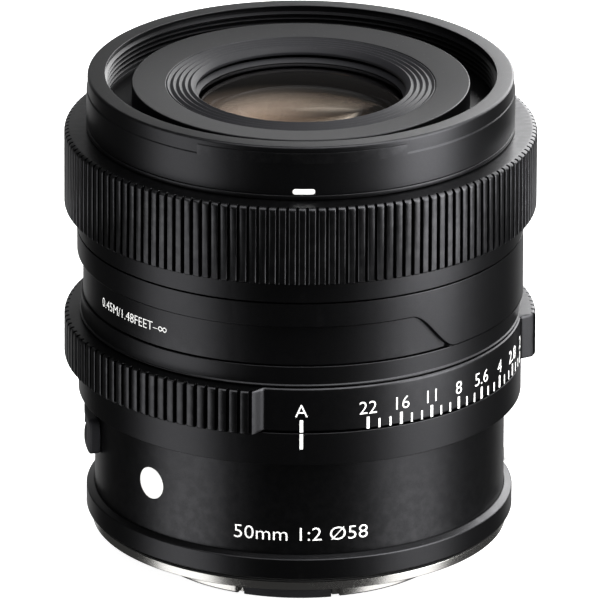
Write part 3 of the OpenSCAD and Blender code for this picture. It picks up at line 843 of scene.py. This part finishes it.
class LENS_OT_front_glass(bpy.types.Operator):
    """Turns the domed front glass and coats the lenses behind it"""

    bl_idname = "lens.front_glass"
    bl_label = "Front Glass"

    def execute(self, context):
        radius, front, rear = reach_of("element_1"), top_of("element_1"), 65.0
        bow, hollow, steps = 62.0, 38.0, 22
        radii = [radius * i / steps for i in range(steps + 1)]
        outline = [(r, front - bow + math.sqrt(bow * bow - r * r)) for r in radii]
        outline += [(r, rear - hollow + math.sqrt(hollow * hollow - r * r))
                    for r in reversed(radii)]
        bm = bmesh.new()
        points = [bm.verts.new(polar(r, 0, z)) for r, z in outline]
        edges = [bm.edges.new(pair) for pair in zip(points, points[1:])]
        bmesh.ops.spin(bm, geom=points + edges, cent=(0, 0, 0), axis=(0, 0, 1), dvec=(0, 0, 0),
                       angle=math.tau, steps=TURN_STEPS // 2, use_merge=True)
        f = finishes()
        glass = [add_piece("front_glass", closed(bm), coated_glass("Front glass", f.coating),
                           stands_for=["element_1"], sharp=25.0)]
        for number in range(2, 12):
            shown = frame["nodes"][f"element_{number}"]
            dress(shown, coated_glass("Inner glass", f.coating))
            glass.append(shown)
        self.spare(glass)
        return {"FINISHED"}

    def spare(self, glass):
        """Takes the panels' reflections off the glass, as its coatings do.

        The glow lights the front glass and nothing else.
        """
        coated = bpy.data.collections.new("Coated glass")
        domed = bpy.data.collections.new("Front glass")
        domed.objects.link(glass[0])
        for piece in glass:
            coated.objects.link(piece)
        for each in coated.collection_objects:
            each.light_linking.link_state = "EXCLUDE"
        for panel in PANELS:
            lit = domed if panel[0] == GLOW else coated
            bpy.data.objects[panel[0]].light_linking.receiver_collection = lit


def dress(shown, finish):
    """Gives a frame node's object its finish."""
    shown.data.materials.clear()
    shown.data.materials.append(finish)


class LENS_OT_front_barrel(bpy.types.Operator):
    """Turns the narrow band in front of the focus ring, with its sleeve"""

    bl_idname = "lens.front_barrel"
    bl_label = "Front Barrel"

    def execute(self, context):
        soft = context.scene.lens_sizes.softness / MM
        top, foot, wide = top_of("front_barrel"), foot_of("front_barrel"), reach_of("front_barrel")
        sleeve, sleeve_in, lip = 30.7, 29.4, 28.7
        band_foot, web_foot = top - 0.65, top - 1.25
        band = turned([
            (lip, top), (wide, top, soft), (wide, band_foot, 0.08), (sleeve, band_foot),
            (sleeve, foot), (sleeve_in, foot), (sleeve_in, web_foot), (lip, web_foot)])
        add_piece("front_barrel_band", band, anodised(),
                  stands_for=["front_barrel"])
        return {"FINISHED"}


# ---- Focus ring and middle barrel ----


def rib_columns(start, count, pitch):
    """Angles of the corners of each rib: floor, flank, chamfer, top and back again."""
    corners = (0.0, 0.11, 0.16, 0.23, 0.5, 0.77, 0.84, 0.89)
    return [start + (i + c) * pitch for i in range(count) for c in corners]


def rib_height(phase):
    """Share of the rib's height at a phase of its pitch, 0 in the groove's middle."""
    away = abs(phase - 0.5)
    if away <= 0.271:
        return 1.0
    if away <= 0.341:
        return 0.86
    return 0.0


class LENS_OT_focus_ring(bpy.types.Operator):
    """Mills the ribs of the focus ring"""

    bl_idname = "lens.focus_ring"
    bl_label = "Focus Ring"

    def execute(self, context):
        s = context.scene.lens_sizes
        wide, top, foot = reach_of("focus_ring"), top_of("focus_ring"), foot_of("focus_ring")
        deep, bore = s.rib_depth / MM, 31.0
        pitch = 360.0 / s.focus_ribs
        angles = rib_columns(-pitch / 2, s.focus_ribs, pitch)

        def wall(inset, height):
            """Ring on the ribbed wall, inset from the rib tops."""
            def at(angle):
                phase = ((angle + pitch / 2) / pitch) % 1.0
                ribs = wide - deep + deep * rib_height(phase)
                return min(ribs, wide - inset), height
            return at

        rings = [lambda a: (bore, top), lambda a: (wide - 0.9, top), wall(0.62, top - 0.02),
                 wall(0.32, top - 0.12), wall(0.10, top - 0.34), wall(0.0, top - 0.62),
                 wall(0.0, foot + 0.5), wall(0.09, foot + 0.24), wall(0.34, foot + 0.06),
                 wall(0.62, foot), lambda a: (bore, foot)]
        add_piece("focus_ring_grip", lofted(angles, rings), ribbed(),
                  body="focus_ring", stands_for=["focus_ring"], sharp=28.0)
        return {"FINISHED"}


class LENS_OT_focus_collar(bpy.types.Operator):
    """Turns the smooth band under the focus ring"""

    bl_idname = "lens.focus_collar"
    bl_label = "Focus Collar"

    def execute(self, context):
        top, foot, wide = top_of("focus_collar"), foot_of("focus_collar"), reach_of("focus_collar")
        inside, step, web_top = 30.75, 32.1, foot + 0.65
        band = turned([
            (inside, foot), (wide, foot, 0.12), (wide, top, 0.2), (step, top, 0.08),
            (step, web_top), (inside, web_top)])
        add_piece("focus_collar_band", band, anodised(),
                  stands_for=["focus_collar"])
        return {"FINISHED"}


class LENS_OT_middle_barrel(bpy.types.Operator):
    """Shapes the middle barrel, whose lower panel is recessed and ends in an S"""

    bl_idname = "lens.middle_barrel"
    bl_label = "Middle Barrel"

    def execute(self, context):
        s = context.scene.lens_sizes
        wide, top, foot = reach_of("mid_barrel"), top_of("mid_barrel"), foot_of("mid_barrel")
        panel, panel_top = wide - 0.9, 42.25
        bore, bore_top = 31.4, top - 1.2
        sleeve = 29.4
        s_from, s_to = 29.3, 43.6
        back_from, back_to = -157.0, -142.7

        def edge(angle):
            """Height of the panel's front edge."""
            angle = (angle + 180.0) % 360.0 - 180.0
            if angle > 0:
                drop = smooth_step((angle - s_from) / (s_to - s_from))
            else:
                drop = 1.0 - smooth_step((angle - back_from) / (back_to - back_from))
            return panel_top + (foot - panel_top) * drop

        def recess(angle):
            """Share of the panel's full depth, easing out where its front edge meets its foot."""
            return min(1.0, max(0.0, (edge(angle) - foot) / 0.7))

        def at(inset, sunk, height, from_edge):
            """Ring at an inset from the barrel's wall, or from the panel's where it is sunk."""
            def place(angle):
                deep = recess(angle) * sunk * (wide - panel)
                z = edge(angle) + height if from_edge else foot + height
                return wide - inset - deep, max(z, foot + 0.02 + (0.05 * height if height > 0 else 0))
            return place

        angles = (stepped(-180, back_from - 1, 1.5) + stepped(back_from - 1, back_to + 1, 0.4)
                  + stepped(back_to + 1, s_from - 2, 1.5) + stepped(s_from - 2, s_to + 2, 0.3)
                  + stepped(s_to + 2, 180, 1.5))
        rings = [lambda a: (sleeve, top), lambda a: (wide - 0.12, top),
                 lambda a: (wide - 0.03, top - 0.03), lambda a: (wide, top - 0.12),
                 at(0.0, 0.0, 0.34, True), at(0.05, 0.0, 0.16, True),
                 at(0.16, 0.0, 0.06, True), at(0.16, 0.6, 0.0, True),
                 at(0.04, 0.96, -0.04, True), at(0.0, 1.0, -0.16, True),
                 at(0.0, 1.0, 0.12, False), at(0.1, 1.0, 0.0, False),
                 lambda a: (bore, foot), lambda a: (bore, bore_top), lambda a: (sleeve, bore_top)]
        add_piece("middle_barrel_shell", lofted(angles, rings), anodised(),
                  stands_for=["mid_barrel"])
        marks_height, marks_at = 38.3, -51.5
        marks = wrapped(lettering("0.45M/1.48FEET\u2013\u221e", 1.5, s.print_thickness / MM,
                                  at=(0, marks_height), wider=0.94), panel + 0.005, marks_at)
        add_piece("distance_marks", marks, white_print())
        return {"FINISHED"}


# ---- Aperture ring ----


class LENS_OT_aperture_collar(bpy.types.Operator):
    """Turns the bevelled band in front of the aperture ring"""

    bl_idname = "lens.aperture_collar"
    bl_label = "Aperture Collar"

    def execute(self, context):
        top, foot = top_of("aperture_collar"), foot_of("aperture_collar")
        wide = reach_of("aperture_collar")
        inside, lip = 30.97, wide + 0.22
        band = turned([
            (inside, top), (wide, top, 0.12), (wide, foot + 0.36, 0.05), (lip, foot + 0.18, 0.05),
            (lip - 0.06, foot), (inside, foot)])
        add_piece("aperture_collar_band", band, anodised(),
                  stands_for=["aperture_collar"])
        return {"FINISHED"}


class LENS_OT_aperture_ring(bpy.types.Operator):
    """Mills the aperture ring's grip and prints its scale of stops"""

    bl_idname = "lens.aperture_ring"
    bl_label = "Aperture Ring"

    def execute(self, context):
        s = context.scene.lens_sizes
        wide, top, foot = reach_of("aperture_ring"), top_of("aperture_ring"), foot_of("aperture_ring")
        plain, bore = reach_of("index_band"), 31.0
        deep = s.rib_depth / MM
        grip_from, grip_to, ramp = 87.1, 347.5, 3.2
        pitch, count = 2.8, 93
        groove_in, groove_out, groove_top = 31.5, 32.35, foot + 0.3
        ribs_from = (grip_from + grip_to - count * pitch) / 2

        def wall(inset, height):
            """Ring on the ribbed wall, which ramps down to the plain part that bears the scale."""
            def at(angle):
                angle = angle % 360.0
                phase = ((angle - ribs_from) / pitch) % 1.0
                inside = ribs_from <= angle <= ribs_from + count * pitch
                full = wide - deep + deep * rib_height(phase) if inside else wide - 0.25
                away = max(grip_from - angle, angle - grip_to, 0.0)
                away = min(away, 360.0 - angle + grip_from) if angle > grip_to else away
                full = full + (plain - full) * smooth_step(away / ramp)
                cap = wide + (plain - wide) * smooth_step(away / ramp) - inset
                return min(full, cap), height
            return at

        angles = (rib_columns(ribs_from, count, pitch)
                  + stepped(ribs_from + count * pitch, grip_to + ramp, 0.4)
                  + stepped(grip_to + ramp, 360 + grip_from - ramp, 1.2)
                  + stepped(360 + grip_from - ramp, 360 + ribs_from, 0.4))
        rings = [lambda a: (bore, top), lambda a: (plain - 0.7, top), wall(0.5, top),
                 wall(0.26, top - 0.06), wall(0.09, top - 0.22), wall(0.0, top - 0.5),
                 wall(0.0, foot + 0.5), wall(0.09, foot + 0.22), wall(0.26, foot + 0.06),
                 wall(0.5, foot), lambda a: (groove_out, foot),
                 lambda a: (groove_out, groove_top), lambda a: (groove_in, groove_top),
                 lambda a: (groove_in, foot), lambda a: (bore, foot)]
        add_piece("aperture_ring_grip", lofted(angles, rings), ribbed(),
                  body="aperture_ring", stands_for=["aperture_ring"], sharp=28.0)

        add_piece("stop_scale", self.scale(s, foot, plain + 0.004), white_print(),
                  body="aperture_ring")
        return {"FINISHED"}

    def scale(self, s, foot, skin):
        """The A mark with its line, and the stops with a tick at each third between them."""
        thick, size, baseline = s.print_thickness / MM, s.numeral_height / MM, foot + 2.4

        def tick(wide, tall, middle, at=0.0):
            return wrapped(plate(wide, tall, thick, at=(0, foot + middle, 0)), skin, at)

        def words(text, wider=1.0, at=0.0):
            return wrapped(lettering(text, size, thick, at=(0, baseline), wider=wider), skin, at)

        marks = [words("A"), tick(0.5, 1.9, 0.97)]
        first, step = 17.35, 9.2
        stops = ("22", "16", "11", "8", "5.6", "4", "2.8", "2")
        for i, stop in enumerate(stops):
            at = first + i * step
            marks += [words(stop, 1.02, at), tick(0.44, 1.85, 1.0, at)]
            if stop != stops[-1]:
                marks += [tick(0.28, 1.4, 0.78, at + third * step / 3) for third in (1, 2)]
        return joined(*marks)


class LENS_OT_index_band(bpy.types.Operator):
    """Turns the fixed band behind the aperture ring, with its index line"""

    bl_idname = "lens.index_band"
    bl_label = "Index Band"

    def execute(self, context):
        s = context.scene.lens_sizes
        foot, wide = foot_of("index_band"), reach_of("index_band")
        top = foot_of("aperture_ring") - 0.2
        sleeve, sleeve_top, bore = 30.92, top_of("index_band"), 29.5
        band = turned([
            (bore, foot), (wide, foot, 0.12), (wide, top, 0.1), (sleeve, top),
            (sleeve, sleeve_top), (bore, sleeve_top)])
        add_piece("index_band_ring", band, anodised(),
                  stands_for=["index_band"])
        line = wrapped(plate(0.5, 2.4, s.print_thickness / MM, at=(0, top - 1.25, 0)),
                       wide + 0.004)
        add_piece("index_line", line, white_print())
        return {"FINISHED"}


# ---- Rear end ----


class LENS_OT_rear_barrel(bpy.types.Operator):
    """Turns the rear barrel and prints the specification on it"""

    bl_idname = "lens.rear_barrel"
    bl_label = "Rear Barrel"

    def execute(self, context):
        s = context.scene.lens_sizes
        top, foot, wide = top_of("rear_barrel"), foot_of("rear_barrel"), reach_of("rear_barrel")
        seat, bore, web_top = 23.8, 28.9, foot + 2.4
        barrel = turned([
            (seat, foot), (wide, foot), (wide, top, 0.05), (bore, top), (bore, web_top),
            (seat, web_top)])
        add_piece("rear_barrel_shell", barrel, anodised(),
                  stands_for=["rear_barrel"])
        baseline = 7.75
        words = wrapped(lettering("50mm 1:2 \u00d858", s.spec_height / MM, s.print_thickness / MM,
                                  at=(0, baseline), wider=1.1), wide + 0.004)
        add_piece("specification_line", words, white_print())
        return {"FINISHED"}


class LENS_OT_mode_switch(bpy.types.Operator):
    """Moulds the raised switch housing and the knob that slides in it"""

    bl_idname = "lens.mode_switch"
    bl_label = "Mode Switch"

    def execute(self, context):
        rear = reach_of("rear_barrel")
        low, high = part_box("switch_housing")
        foot, top = low.z / MM, high.z / MM
        skin = -low.x / MM
        middle = (foot + top) / 2
        height = top - foot
        housing_span, slot_span, knob_span = 29.0, 16.4, 8.4
        housing_at, knob_at = -90.0, -93.5

        def across(span):
            """Width on the barrel's wall, in mm, of an angle in degrees."""
            return math.radians(span) * rear

        blank = plate(across(housing_span), height, skin - rear - 0.02, corner=1.5)
        cutter = plate(across(slot_span), height - 2.4, 4.0, corner=0.6, at=(0, 0, -1.0))
        housing = cut_through(blank, cutter)
        rounded_edges(housing, 0.28, segments=3)
        bmesh.ops.translate(housing, vec=(0, middle, 0.02), verts=housing.verts)
        add_piece("switch_housing_frame", wrapped(housing, rear, housing_at), moulded(),
                  stands_for=["switch_housing"])
        knob_low, knob_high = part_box("switch_knob")
        knob_height = (knob_high.z - knob_low.z) / MM
        base = plate(across(knob_span), knob_height, 0.9, corner=0.4, edge=0.15,
                     at=(0, middle, 0.3))
        nub = plate(across(knob_span / 2), knob_height - 1.2, 0.38, corner=0.25, edge=0.12,
                    at=(0, middle, 1.17))
        knob = joined(wrapped(base, rear, knob_at), wrapped(nub, rear, knob_at))
        add_piece("switch_knob_slider", knob, moulded(), body="mode_switch",
                  stands_for=["switch_knob"])
        return {"FINISHED"}


def cut_through(bm, cutter):
    """The first solid less the second, by the Boolean modifier's exact solver."""
    objects = []
    for name, shape in (("solid", bm), ("cutter", cutter)):
        mesh = bpy.data.meshes.new(name)
        shape.to_mesh(mesh)
        shape.free()
        holder = bpy.data.objects.new(name, mesh)
        bpy.context.scene.collection.objects.link(holder)
        objects.append(holder)
    solid, knife = objects
    cut = solid.modifiers.new("Cut", "BOOLEAN")
    cut.operation, cut.solver, cut.object = "DIFFERENCE", "EXACT", knife
    shown = solid.evaluated_get(bpy.context.evaluated_depsgraph_get())
    result = bmesh.new()
    result.from_mesh(shown.to_mesh())
    shown.to_mesh_clear()
    for holder in objects:
        mesh = holder.data
        bpy.data.objects.remove(holder)
        bpy.data.meshes.remove(mesh)
    return result


class LENS_OT_badge_and_bead(bpy.types.Operator):
    """Moulds the plain white badge and the white bead that marks the mount"""

    bl_idname = "lens.badge_and_bead"
    bl_label = "Badge and Bead"

    def execute(self, context):
        low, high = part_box("badge")
        radius = (high.z - low.z) / 2 / MM
        middle = (high.z + low.z) / 2 / MM
        rear, badge_at, bead_r = reach_of("rear_barrel"), -46.2, 1.15 * MM
        disc = bmesh.new()
        bmesh.ops.create_circle(disc, cap_ends=True, segments=64, radius=radius)
        raised = bmesh.ops.extrude_face_region(disc, geom=disc.faces[:])["geom"]
        above = [g for g in raised if isinstance(g, bmesh.types.BMVert)]
        bmesh.ops.translate(disc, vec=(0, 0, 0.11), verts=above)
        bmesh.ops.recalc_face_normals(disc, faces=disc.faces)
        rounded_edges(disc, 0.04)
        bmesh.ops.translate(disc, vec=(0, middle, 0.01), verts=disc.verts)
        add_piece("badge_disc", wrapped(disc, rear, badge_at, every=0.5), white_plastic(),
                  stands_for=["badge"])
        low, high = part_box("index_bead")
        bead = bmesh.new()
        bmesh.ops.create_uvsphere(bead, u_segments=40, v_segments=24, radius=bead_r)
        bmesh.ops.rotate(bead, cent=(0, 0, 0), matrix=Matrix.Rotation(math.pi / 2, 3, "Y"),
                         verts=bead.verts)
        bmesh.ops.translate(bead, vec=(high.x - bead_r, 0, (low.z + high.z) / 2),
                            verts=bead.verts)
        bmesh.ops.bisect_plane(bead, geom=bead.verts[:] + bead.edges[:] + bead.faces[:],
                               plane_co=(low.x, 0, 0), plane_no=(1, 0, 0), clear_inner=True)
        rim = [e for e in bead.edges if e.is_boundary]
        bmesh.ops.contextual_create(bead, geom=rim)
        bmesh.ops.recalc_face_normals(bead, faces=bead.faces)
        add_piece("mount_index_bead", bead, bead_plastic(),
                  stands_for=["index_bead"])
        return {"FINISHED"}


class LENS_OT_mount_skirt(bpy.types.Operator):
    """Turns the flared skirt and the ribbed rubber seal over the mount"""

    bl_idname = "lens.mount_skirt"
    bl_label = "Mount Skirt"

    def execute(self, context):
        top, foot, wide = top_of("mount_skirt"), foot_of("mount_skirt"), reach_of("mount_skirt")
        inside = reach_of("rear_barrel") + 0.05
        skirt = turned([
            (inside, top, 0.03), (inside + 0.2, top - 0.02, 0.05),
            (wide - 0.12, top - 0.38, 0.05), (wide, top - 0.52, 0.05),
            (wide, foot, 0.22), (inside, foot)])
        add_piece("mount_skirt_ring", skirt, anodised(),
                  stands_for=["mount_skirt"])
        top, foot, wide = top_of("mount_seal"), foot_of("mount_seal"), reach_of("mount_seal")
        bore, groove, rib_pitch = 29.9, wide - 0.2, 0.34
        ribs = []
        for z in (top - 0.02, top - 0.02 - rib_pitch):
            ribs += [(wide, z, 0.06), (wide, z - 0.2, 0.06), (groove, z - 0.24), (groove, z - 0.3)]
        seal = turned([(bore, top), (wide - 0.1, top)] + ribs[:-1] + [(bore, foot)])
        add_piece("mount_seal_ring", seal, rubber(),
                  stands_for=["mount_seal"])
        return {"FINISHED"}


class LENS_OT_bayonet(bpy.types.Operator):
    """Turns the chromed bayonet with its three lugs"""

    bl_idname = "lens.bayonet"
    bl_label = "Bayonet"

    def execute(self, context):
        top, foot, wide = top_of("bayonet_mount"), foot_of("bayonet_mount"), reach_of("bayonet_mount")
        bore, tube, pilot, lug = 20.6, 21.9, 23.0, 22.8
        collar, lug_top = -1.2, -2.3
        window_from, window_to = -22.6, 12.6
        lug_middles, lug_span = (-51.5, 42.5, 175.0), 55.0
        flange = turned([
            (bore, top), (wide, top, 0.12), (wide, 0.0, 0.15), (pilot, 0.0, 0.05),
            (pilot, collar, 0.12), (bore, collar)])
        wall = turned([(bore, collar + 0.1), (tube, collar + 0.1), (tube, foot, 0.15),
                       (bore, foot, 0.15)], window_to, 360 - (window_to - window_from), steps=260)
        lugs = []
        for middle in lug_middles:
            one = turned([(tube - 0.2, lug_top), (lug, lug_top), (lug, foot + 0.25),
                          (lug - 0.25, foot), (tube - 0.2, foot)],
                         middle - lug_span / 2, lug_span, steps=44)
            rounded_edges(one, 0.09 * MM)
            lugs.append(one)
        add_piece("bayonet_ring", joined(flange, wall, *lugs), chrome(),
                  stands_for=["bayonet_mount"])
        dress(frame["nodes"]["mount_screws"], steel())
        return {"FINISHED"}


class LENS_OT_contacts(bpy.types.Operator):
    """Moulds the stepped contact block and dresses its pins"""

    bl_idname = "lens.contacts"
    bl_label = "Contacts"

    def execute(self, context):
        foot = foot_of("contact_block")
        out, back, bore = 21.9, 18.4, 20.53
        outer_top, inner_foot, inner_top = -1.25, foot + 0.02, 0.9
        outline = [(back, outer_top), (out, outer_top)]
        for z in (-2.0, -3.2):
            outline += [(out, z, 0.05), (out - 0.22, z - 0.08), (out - 0.22, z - 0.32),
                        (out, z - 0.4, 0.05)]
        outline += [(out, foot + 0.2, 0.06), (out - 0.2, foot, 0.04), (back, foot)]
        outer = turned(outline, -22.2, 34.4, steps=36)
        inner = turned([(back, inner_foot, 0.05), (bore, inner_foot, 0.05), (bore, inner_top),
                        (back, inner_top)], -32.0, 64.0, steps=60)
        add_piece("contact_block_moulding", joined(outer, inner), moulded(),
                  stands_for=["contact_block"])
        pins = []
        for angle in range(-27, 28, 6):
            pin = bmesh.new()
            bmesh.ops.create_uvsphere(pin, u_segments=20, v_segments=10, radius=0.5)
            bmesh.ops.scale(pin, vec=(MM, MM, 0.25 * MM), verts=pin.verts)
            bmesh.ops.translate(pin, vec=polar(19.5, angle, foot + 0.13), verts=pin.verts)
            pins.append(pin)
        add_piece("contact_pin_heads", joined(*pins), gold())
        dress(frame["nodes"]["contact_pins"], gold())
        return {"FINISHED"}


class LENS_OT_inside(bpy.types.Operator):
    """Dresses the parts inside the lens"""

    bl_idname = "lens.inside"
    bl_label = "Inside"

    def execute(self, context):
        blades = [f"iris_blade_{i}" for i in range(1, 10)]
        groups = (
            (inner_metal(), ["main_tube", "front_cell", "rear_cell", "iris_base", "iris_cover",
                             "focus_cell", "focus_comb", "rear_mask", "iris_drive_ring"]),
            (blade_coat(), blades),
            (steel(), ["guide_rods", "lead_screw", "click_ball", "click_spring"]),
            (can_steel(), ["focus_motor", "iris_motor"]),
            (brass(), ["iris_pinion"]),
            (slide_band(), ["focus_slides"]),
            (sensor_board(), ["focus_sensor"]),
        )
        for finish, names in groups:
            for name in names:
                dress(frame["nodes"][name], finish)
        return {"FINISHED"}


OPERATORS = (
    LENS_OT_stage, LENS_OT_front_ring, LENS_OT_front_face, LENS_OT_front_glass,
    LENS_OT_front_barrel, LENS_OT_focus_ring, LENS_OT_focus_collar, LENS_OT_middle_barrel,
    LENS_OT_aperture_collar, LENS_OT_aperture_ring, LENS_OT_index_band, LENS_OT_rear_barrel,
    LENS_OT_mode_switch, LENS_OT_badge_and_bead, LENS_OT_mount_skirt, LENS_OT_bayonet,
    LENS_OT_contacts, LENS_OT_inside,
)


class LENS_PT_pieces(bpy.types.Panel):
    """Lists the sizes, the finishes and one button for each piece"""

    bl_idname = "LENS_PT_pieces"
    bl_label = "Prime Lens"
    bl_space_type = "VIEW_3D"
    bl_region_type = "UI"
    bl_category = "Lens"

    def draw(self, context):
        """Puts the buttons above the settings."""
        for operator in OPERATORS:
            self.layout.operator(operator.bl_idname)
        for settings in (context.scene.lens_sizes, context.scene.lens_finishes):
            column = self.layout.column(align=True)
            for name in settings.__annotations__:
                column.prop(settings, name)


CLASSES = (LensSizes, LensFinishes, *OPERATORS, LENS_PT_pieces)


def register():
    for each in CLASSES:
        bpy.utils.register_class(each)
    bpy.types.Scene.lens_sizes = PointerProperty(type=LensSizes)
    bpy.types.Scene.lens_finishes = PointerProperty(type=LensFinishes)


def unregister():
    del bpy.types.Scene.lens_finishes
    del bpy.types.Scene.lens_sizes
    for each in reversed(CLASSES):
        bpy.utils.unregister_class(each)


def main():
    """Builds every piece."""
    register()
    for operator in OPERATORS:
        group, name = operator.bl_idname.split(".")
        getattr(getattr(bpy.ops, group), name)()


if __name__ == "__main__":
    main()
